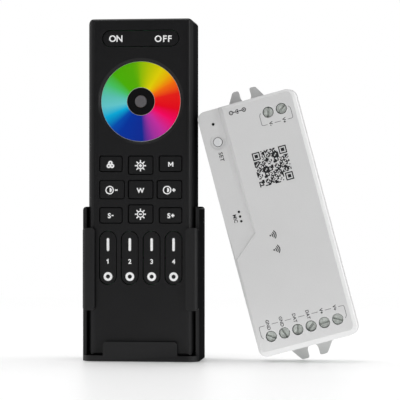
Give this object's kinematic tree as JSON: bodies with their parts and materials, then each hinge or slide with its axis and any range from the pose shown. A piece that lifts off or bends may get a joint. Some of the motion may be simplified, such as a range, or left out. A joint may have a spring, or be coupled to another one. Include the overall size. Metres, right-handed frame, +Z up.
{
  "type": "led strip controller set",
  "caption": "Wireless light-strip controller: remote with colour wheel and keys in a wall holder, and a receiver box with screw terminals, power socket and mounting forks.",
  "frame": {"origin": "centre of the underside of the holder's foot", "axes": "+Z up along the remote, -Y is the way the keys and the box's face look, +X towards the receiver box"},
  "size_m": [0.1027, 0.022, 0.1278],
  "materials": {
    "remote_plastic": "fine matte texture",
    "holder_plastic": "satin",
    "key_plastic": "satin",
    "wheel_print": "printed colour wheel under a clear coat",
    "hub_plastic": "satin",
    "lens_plastic": "smoked translucent",
    "circuit_board": "green solder mask",
    "sensor_film": "etched film",
    "dome_metal": "satin",
    "chip_epoxy": "matte",
    "cell_jacket": "plain sleeve",
    "spring_steel": "nickel plated",
    "screw_steel": "zinc plated",
    "receiver_plastic": "fine satin texture",
    "button_plastic": "satin",
    "switch_plastic": "matte",
    "light_guide": "clear rod",
    "can_metal": "satin",
    "jack_plastic": "matte",
    "contact_brass": "tinned",
    "terminal_plastic": "matte",
    "cage_steel": "zinc plated"
  },
  "bodies": {
    "holder": {"wall_holder": "holder_plastic"},
    "remote": {"front_shell": "remote_plastic", "back_shell": "remote_plastic", "colour_ring": "wheel_print", "wheel_hub": "hub_plastic", "indicator_lens": "lens_plastic", "remote_board": "circuit_board", "touch_sensor": "sensor_film", "key_domes": "dome_metal", "board_chips": "chip_epoxy", "batteries": "cell_jacket", "battery_contacts": "spring_steel", "shell_screws": "screw_steel"},
    "battery_door": {"battery_door": "remote_plastic"},
    "on_off_key": {"on_off_key": "key_plastic"},
    "key_colours": {"key_colours": "key_plastic"},
    "key_sun_plus": {"key_sun_plus": "key_plastic"},
    "key_mode": {"key_mode": "key_plastic"},
    "key_dim_minus": {"key_dim_minus": "key_plastic"},
    "key_white": {"key_white": "key_plastic"},
    "key_dim_plus": {"key_dim_plus": "key_plastic"},
    "key_speed_minus": {"key_speed_minus": "key_plastic"},
    "key_sun_minus": {"key_sun_minus": "key_plastic"},
    "key_speed_plus": {"key_speed_plus": "key_plastic"},
    "zone_key_1": {"zone_key_1": "key_plastic"},
    "zone_key_2": {"zone_key_2": "key_plastic"},
    "zone_key_3": {"zone_key_3": "key_plastic"},
    "zone_key_4": {"zone_key_4": "key_plastic"},
    "receiver": {"receiver_cover": "receiver_plastic", "receiver_base": "receiver_plastic", "receiver_board": "circuit_board", "set_switch": "switch_plastic", "status_light": "light_guide", "microphone": "can_metal", "dc_jack": "jack_plastic", "jack_pin": "contact_brass", "radio_module": "can_metal", "capacitors": "can_metal", "output_block": "terminal_plastic", "input_block": "terminal_plastic", "output_contacts": "contact_brass", "input_contacts": "contact_brass"},
    "set_button": {"set_button": "button_plastic"},
    "output_screw_1": {"output_screw_1": "screw_steel"},
    "output_cage_1": {"output_cage_1": "cage_steel"},
    "output_screw_2": {"output_screw_2": "screw_steel"},
    "output_cage_2": {"output_cage_2": "cage_steel"},
    "output_screw_3": {"output_screw_3": "screw_steel"},
    "output_cage_3": {"output_cage_3": "cage_steel"},
    "output_screw_4": {"output_screw_4": "screw_steel"},
    "output_cage_4": {"output_cage_4": "cage_steel"},
    "output_screw_5": {"output_screw_5": "screw_steel"},
    "output_cage_5": {"output_cage_5": "cage_steel"},
    "output_screw_6": {"output_screw_6": "screw_steel"},
    "output_cage_6": {"output_cage_6": "cage_steel"},
    "input_screw_1": {"input_screw_1": "screw_steel"},
    "input_cage_1": {"input_cage_1": "cage_steel"},
    "input_screw_2": {"input_screw_2": "screw_steel"},
    "input_cage_2": {"input_cage_2": "cage_steel"}
  },
  "joints": [
    {"name": "remote_lift", "type": "slide", "parent": "holder", "child": "remote", "axis": [0, 0, 1], "range_m": [0, 0.06]},
    {"name": "battery_door_slide", "type": "slide", "parent": "remote", "child": "battery_door", "axis": [0, 0, 1], "range_m": [0, 0.06]},
    {"name": "on_off_rock", "type": "hinge", "parent": "remote", "child": "on_off_key", "pos_m": [0, -0.00695, 0.1204], "axis": [0, 0, 1], "range_deg": [-2.2, 2.2], "stiffness_Nm_per_rad": 0.05},
    {"name": "key_colours_press", "type": "slide", "parent": "remote", "child": "key_colours", "axis": [0, 1, 0], "range_m": [0, 0.0006], "stiffness_N_per_m": 400, "springref_m": -0.001},
    {"name": "key_sun_plus_press", "type": "slide", "parent": "remote", "child": "key_sun_plus", "axis": [0, 1, 0], "range_m": [0, 0.0006], "stiffness_N_per_m": 400, "springref_m": -0.001},
    {"name": "key_mode_press", "type": "slide", "parent": "remote", "child": "key_mode", "axis": [0, 1, 0], "range_m": [0, 0.0006], "stiffness_N_per_m": 400, "springref_m": -0.001},
    {"name": "key_dim_minus_press", "type": "slide", "parent": "remote", "child": "key_dim_minus", "axis": [0, 1, 0], "range_m": [0, 0.0006], "stiffness_N_per_m": 400, "springref_m": -0.001},
    {"name": "key_white_press", "type": "slide", "parent": "remote", "child": "key_white", "axis": [0, 1, 0], "range_m": [0, 0.0006], "stiffness_N_per_m": 400, "springref_m": -0.001},
    {"name": "key_dim_plus_press", "type": "slide", "parent": "remote", "child": "key_dim_plus", "axis": [0, 1, 0], "range_m": [0, 0.0006], "stiffness_N_per_m": 400, "springref_m": -0.001},
    {"name": "key_speed_minus_press", "type": "slide", "parent": "remote", "child": "key_speed_minus", "axis": [0, 1, 0], "range_m": [0, 0.0006], "stiffness_N_per_m": 400, "springref_m": -0.001},
    {"name": "key_sun_minus_press", "type": "slide", "parent": "remote", "child": "key_sun_minus", "axis": [0, 1, 0], "range_m": [0, 0.0006], "stiffness_N_per_m": 400, "springref_m": -0.001},
    {"name": "key_speed_plus_press", "type": "slide", "parent": "remote", "child": "key_speed_plus", "axis": [0, 1, 0], "range_m": [0, 0.0006], "stiffness_N_per_m": 400, "springref_m": -0.001},
    {"name": "zone_key_1_rock", "type": "hinge", "parent": "remote", "child": "zone_key_1", "pos_m": [-0.01236, -0.00695, 0.0385], "axis": [1, 0, 0], "range_deg": [-2.8, 2.8], "stiffness_Nm_per_rad": 0.05},
    {"name": "zone_key_2_rock", "type": "hinge", "parent": "remote", "child": "zone_key_2", "pos_m": [-0.00412, -0.00695, 0.0385], "axis": [1, 0, 0], "range_deg": [-2.8, 2.8], "stiffness_Nm_per_rad": 0.05},
    {"name": "zone_key_3_rock", "type": "hinge", "parent": "remote", "child": "zone_key_3", "pos_m": [0.00412, -0.00695, 0.0385], "axis": [1, 0, 0], "range_deg": [-2.8, 2.8], "stiffness_Nm_per_rad": 0.05},
    {"name": "zone_key_4_rock", "type": "hinge", "parent": "remote", "child": "zone_key_4", "pos_m": [0.01236, -0.00695, 0.0385], "axis": [1, 0, 0], "range_deg": [-2.8, 2.8], "stiffness_Nm_per_rad": 0.05},
    {"name": "receiver_lift", "type": "slide", "parent": "holder", "child": "receiver", "axis": [0, 0, 1], "range_m": [0, 0.1]},
    {"name": "set_button_press", "type": "slide", "parent": "receiver", "child": "set_button", "axis": [0, 1, 0], "range_m": [0, 0.0004], "stiffness_N_per_m": 800, "springref_m": -0.0008},
    {"name": "output_screw_1_turn", "type": "hinge", "parent": "receiver", "child": "output_screw_1", "pos_m": [0.04889, -0.00685, 0.00967], "axis": [0, 1, 0], "range_deg": [0, 1440]},
    {"name": "output_cage_1_rise", "type": "slide", "parent": "receiver", "child": "output_cage_1", "axis": [0, -1, 0], "range_m": [0, 0.0018]},
    {"name": "output_screw_2_turn", "type": "hinge", "parent": "receiver", "child": "output_screw_2", "pos_m": [0.0538, -0.00685, 0.01098], "axis": [0, 1, 0], "range_deg": [0, 1440]},
    {"name": "output_cage_2_rise", "type": "slide", "parent": "receiver", "child": "output_cage_2", "axis": [0, -1, 0], "range_m": [0, 0.0018]},
    {"name": "output_screw_3_turn", "type": "hinge", "parent": "receiver", "child": "output_screw_3", "pos_m": [0.0587, -0.00685, 0.0123], "axis": [0, 1, 0], "range_deg": [0, 1440]},
    {"name": "output_cage_3_rise", "type": "slide", "parent": "receiver", "child": "output_cage_3", "axis": [0, -1, 0], "range_m": [0, 0.0018]},
    {"name": "output_screw_4_turn", "type": "hinge", "parent": "receiver", "child": "output_screw_4", "pos_m": [0.06361, -0.00685, 0.01361], "axis": [0, 1, 0], "range_deg": [0, 1440]},
    {"name": "output_cage_4_rise", "type": "slide", "parent": "receiver", "child": "output_cage_4", "axis": [0, -1, 0], "range_m": [0, 0.0018]},
    {"name": "output_screw_5_turn", "type": "hinge", "parent": "receiver", "child": "output_screw_5", "pos_m": [0.06852, -0.00685, 0.01493], "axis": [0, 1, 0], "range_deg": [0, 1440]},
    {"name": "output_cage_5_rise", "type": "slide", "parent": "receiver", "child": "output_cage_5", "axis": [0, -1, 0], "range_m": [0, 0.0018]},
    {"name": "output_screw_6_turn", "type": "hinge", "parent": "receiver", "child": "output_screw_6", "pos_m": [0.07342, -0.00685, 0.01624], "axis": [0, 1, 0], "range_deg": [0, 1440]},
    {"name": "output_cage_6_rise", "type": "slide", "parent": "receiver", "child": "output_cage_6", "axis": [0, -1, 0], "range_m": [0, 0.0018]},
    {"name": "input_screw_1_turn", "type": "hinge", "parent": "receiver", "child": "input_screw_1", "pos_m": [0.04771, -0.00685, 0.09259], "axis": [0, 1, 0], "range_deg": [0, 1440]},
    {"name": "input_cage_1_rise", "type": "slide", "parent": "receiver", "child": "input_cage_1", "axis": [0, -1, 0], "range_m": [0, 0.0018]},
    {"name": "input_screw_2_turn", "type": "hinge", "parent": "receiver", "child": "input_screw_2", "pos_m": [0.05261, -0.00685, 0.0939], "axis": [0, 1, 0], "range_deg": [0, 1440]},
    {"name": "input_cage_2_rise", "type": "slide", "parent": "receiver", "child": "input_cage_2", "axis": [0, -1, 0], "range_m": [0, 0.0018]}
  ],
  "couplings": [
    {"joint": "output_screw_1_turn", "follows": "output_cage_1_rise", "rad_per_m": 13960},
    {"joint": "output_screw_2_turn", "follows": "output_cage_2_rise", "rad_per_m": 13960},
    {"joint": "output_screw_3_turn", "follows": "output_cage_3_rise", "rad_per_m": 13960},
    {"joint": "output_screw_4_turn", "follows": "output_cage_4_rise", "rad_per_m": 13960},
    {"joint": "output_screw_5_turn", "follows": "output_cage_5_rise", "rad_per_m": 13960},
    {"joint": "output_screw_6_turn", "follows": "output_cage_6_rise", "rad_per_m": 13960},
    {"joint": "input_screw_1_turn", "follows": "input_cage_1_rise", "rad_per_m": 13960},
    {"joint": "input_screw_2_turn", "follows": "input_cage_2_rise", "rad_per_m": 13960}
  ]
}
